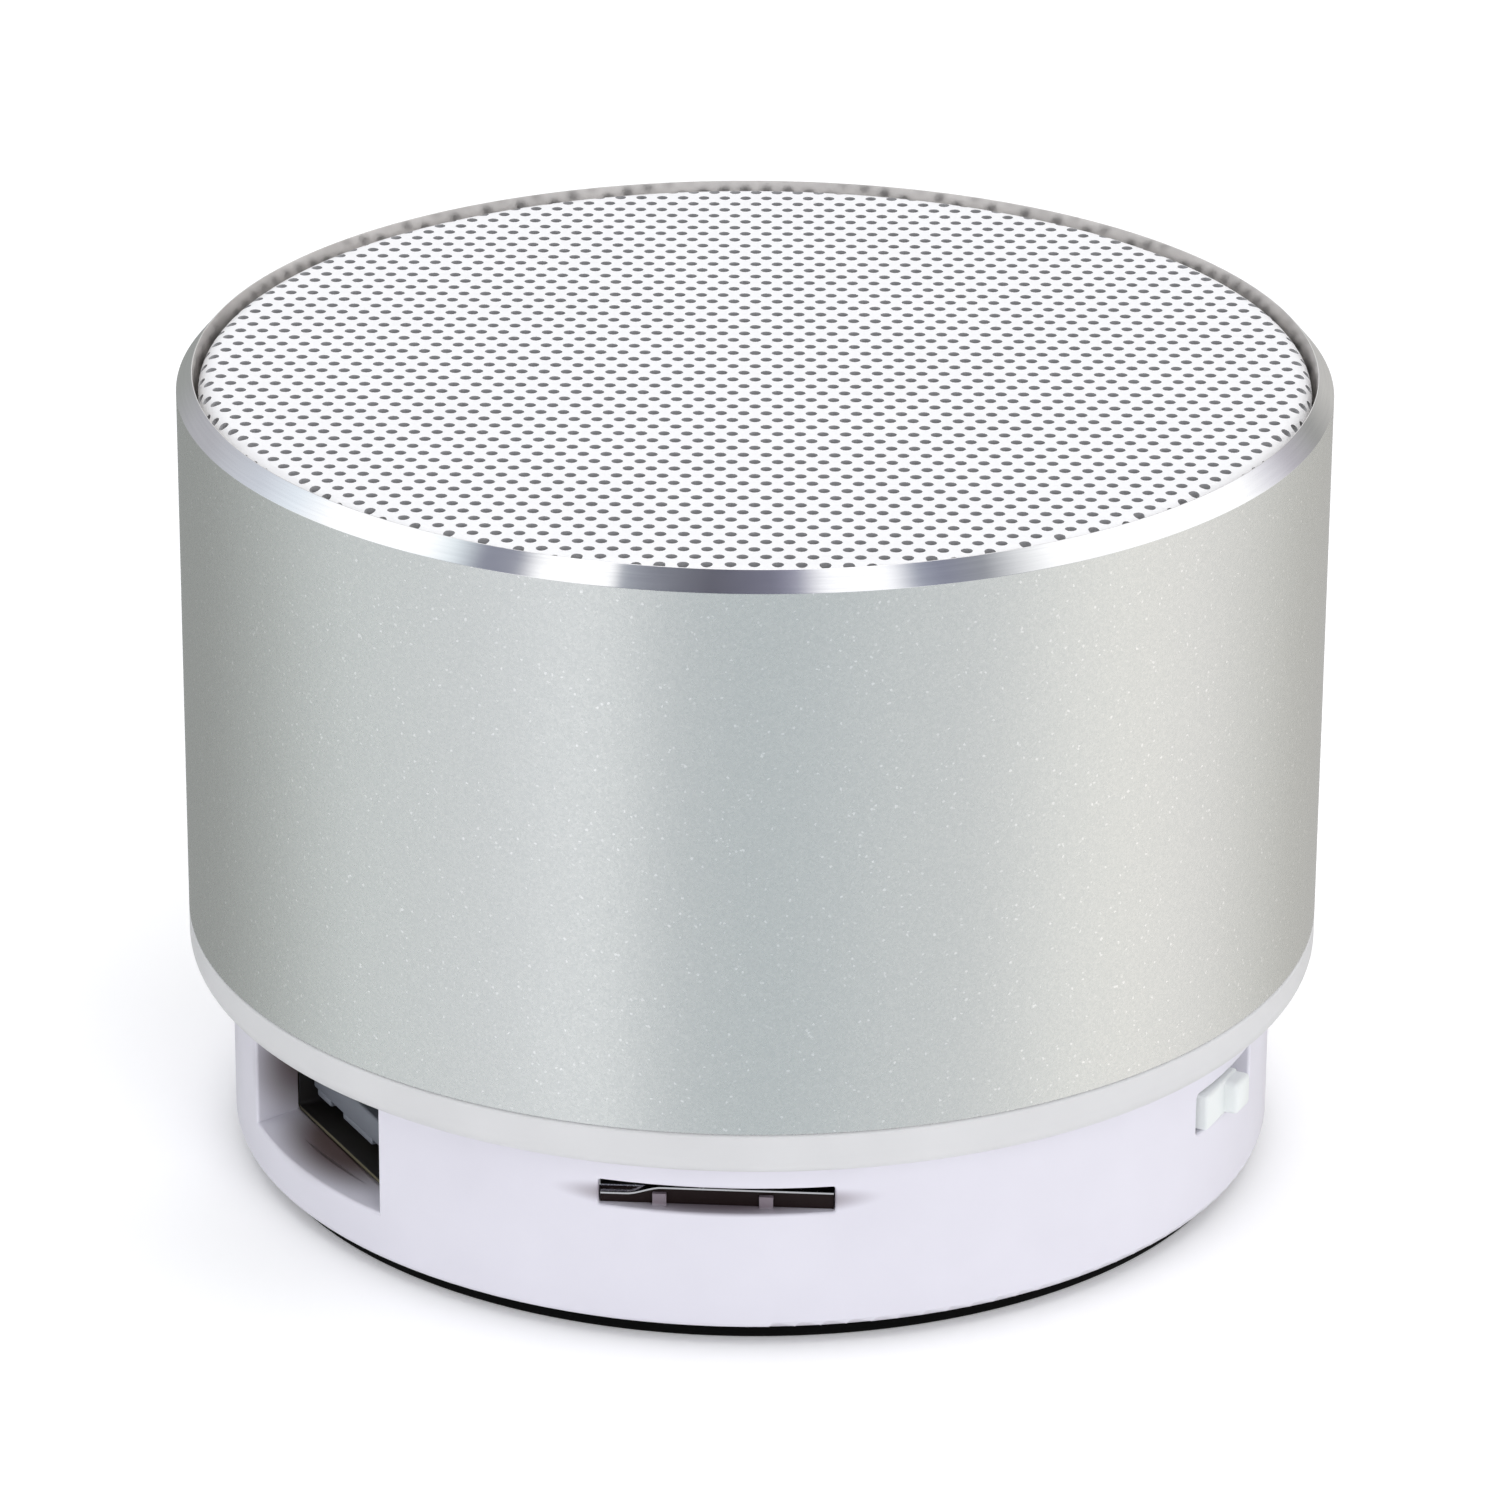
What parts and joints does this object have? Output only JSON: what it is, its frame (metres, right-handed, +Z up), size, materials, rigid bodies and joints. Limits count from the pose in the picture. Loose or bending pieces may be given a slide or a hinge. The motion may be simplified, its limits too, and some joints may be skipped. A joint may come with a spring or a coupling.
{
  "type": "portable speaker",
  "caption": "Small round portable speaker: aluminium sleeve, flat perforated grille, narrower plastic base with USB, card slot, slide switch and rubber foot.",
  "frame": {"origin": "centre of the foot pad's underside, on the surface that the speaker stands on", "axes": "+Z up through the grille, -Y the front with the card slot, +X to the right seen from the front"},
  "size_m": [0.06, 0.06, 0.043],
  "materials": {
    "anodised_shell": "bead-blasted clear anodising with a bright-cut bevel",
    "grille_paint": "white powder coat on perforated steel",
    "trim_plastic": "satin light grey",
    "base_plastic": "satin white with a faint lavender cast",
    "knob_plastic": "satin white",
    "inner_plastic": "moulded black",
    "pad_rubber": "matt black rubber",
    "foam": "soft foam",
    "basket_steel": "black coated pressed steel",
    "zinc_steel": "zinc-plated",
    "ferrite": "sintered ferrite, dull black",
    "copper": "enamelled copper wire",
    "former_film": "amber film",
    "cone_paper": "black pulp paper",
    "surround_rubber": "satin black rubber",
    "spider_cloth": "resin-dipped cloth",
    "screw_steel": "black zinc",
    "gold_contact": "gold-flashed contact",
    "socket_steel": "bright nickel-plated sheet",
    "tongue_plastic": "blue-grey insulator",
    "socket_plastic": "dark brown insulator",
    "board_laminate": "solder-masked glass laminate",
    "chip_epoxy": "black epoxy",
    "connector_plastic": "natural nylon",
    "pouch_foil": "soft foil pouch",
    "wire_red": "red insulation",
    "wire_black": "black insulation",
    "led_lens": "clear blue-tinted lens"
  },
  "bodies": {
    "housing": {"shell": "anodised_shell", "grille": "grille_paint", "trim_ring": "trim_plastic", "base_cup": "base_plastic", "foot_pad": "pad_rubber", "pad_adhesive": "foam", "driver_carrier": "inner_plastic", "chamber_plate": "inner_plastic", "lead_grommet": "foam", "casing_screws": "screw_steel", "driver_basket": "basket_steel", "driver_gasket": "foam", "magnet": "ferrite", "top_plate": "zinc_steel", "yoke": "zinc_steel", "surround": "surround_rubber", "spider": "spider_cloth", "terminal_strip": "board_laminate", "terminal_tags": "gold_contact", "speaker_lead_red": "wire_red", "speaker_lead_black": "wire_black", "driver_screws": "screw_steel", "usb_shell": "socket_steel", "usb_tongue": "tongue_plastic", "usb_contacts": "gold_contact", "card_socket_shell": "socket_steel", "card_socket_body": "socket_plastic", "card_socket_contacts": "gold_contact", "charge_port_shell": "socket_steel", "charge_port_tongue": "socket_plastic", "power_switch_body": "socket_plastic", "jog_switch_body": "socket_plastic", "status_led": "led_lens", "microphone": "zinc_steel", "microphone_boot": "pad_rubber", "main_board": "board_laminate", "wireless_module": "socket_steel", "amplifier_chip": "chip_epoxy", "filter_inductors": "chip_epoxy", "capacitors": "connector_plastic", "speaker_connector": "connector_plastic", "battery_cell": "pouch_foil", "battery_tape": "foam", "battery_lead_red": "wire_red", "battery_lead_black": "wire_black", "board_screws": "screw_steel"},
    "power_switch": {"power_switch_actuator": "socket_plastic", "power_switch_knob": "knob_plastic"},
    "jog_plunger": {"jog_switch_actuator": "socket_plastic"},
    "jog_knob": {"jog_switch_knob": "knob_plastic"},
    "cone_assembly": {"cone": "cone_paper", "dust_cap": "cone_paper", "coil_former": "former_film", "coil_winding": "copper"}
  },
  "joints": [
    {"name": "power_slide", "type": "slide", "parent": "housing", "child": "power_switch", "axis": [0.4415, 0.8973, 0], "range_m": [0, 0.0022]},
    {"name": "jog_press", "type": "slide", "parent": "housing", "child": "jog_plunger", "axis": [-0.6428, -0.766, 0], "range_m": [0, 0.0004], "stiffness_N_per_m": 1500},
    {"name": "jog_slide", "type": "slide", "parent": "jog_plunger", "child": "jog_knob", "axis": [-0.766, 0.6428, 0], "range_m": [-0.0012, 0.0012], "stiffness_N_per_m": 400},
    {"name": "cone_travel", "type": "slide", "parent": "housing", "child": "cone_assembly", "axis": [0, 0, 1], "range_m": [-0.001, 0.001], "stiffness_N_per_m": 1500, "deforming": ["surround", "spider"]}
  ]
}
